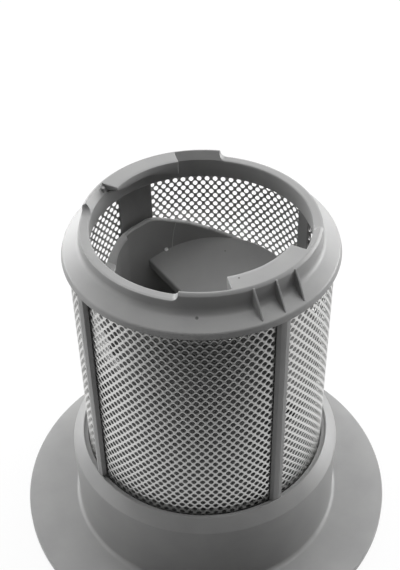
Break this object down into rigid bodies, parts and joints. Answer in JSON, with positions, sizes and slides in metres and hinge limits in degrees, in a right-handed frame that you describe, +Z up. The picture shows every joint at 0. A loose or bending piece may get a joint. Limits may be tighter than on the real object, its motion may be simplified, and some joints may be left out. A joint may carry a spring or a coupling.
{
  "type": "dishwasher filter",
  "caption": "Cylindrical dishwasher filter: bayonet neck, perforated steel sleeve between slim posts, sloped inner cup and a wide round flange.",
  "frame": {"origin": "on the filter's upright axis, at the underside of the wide flange it stands on", "axes": "+Z up the axis towards the neck, -Y towards the front of the picture, +X to its right"},
  "size_m": [0.1216, 0.1216, 0.115],
  "materials": {
    "grey_plastic": "satin",
    "stainless_sheet": "satin",
    "dark_grey_plastic": "matte"
  },
  "bodies": {
    "root": {"filter_frame": "grey_plastic", "perforated_sleeve": "stainless_sheet", "inner_cup": "dark_grey_plastic"}
  },
  "joints": []
}
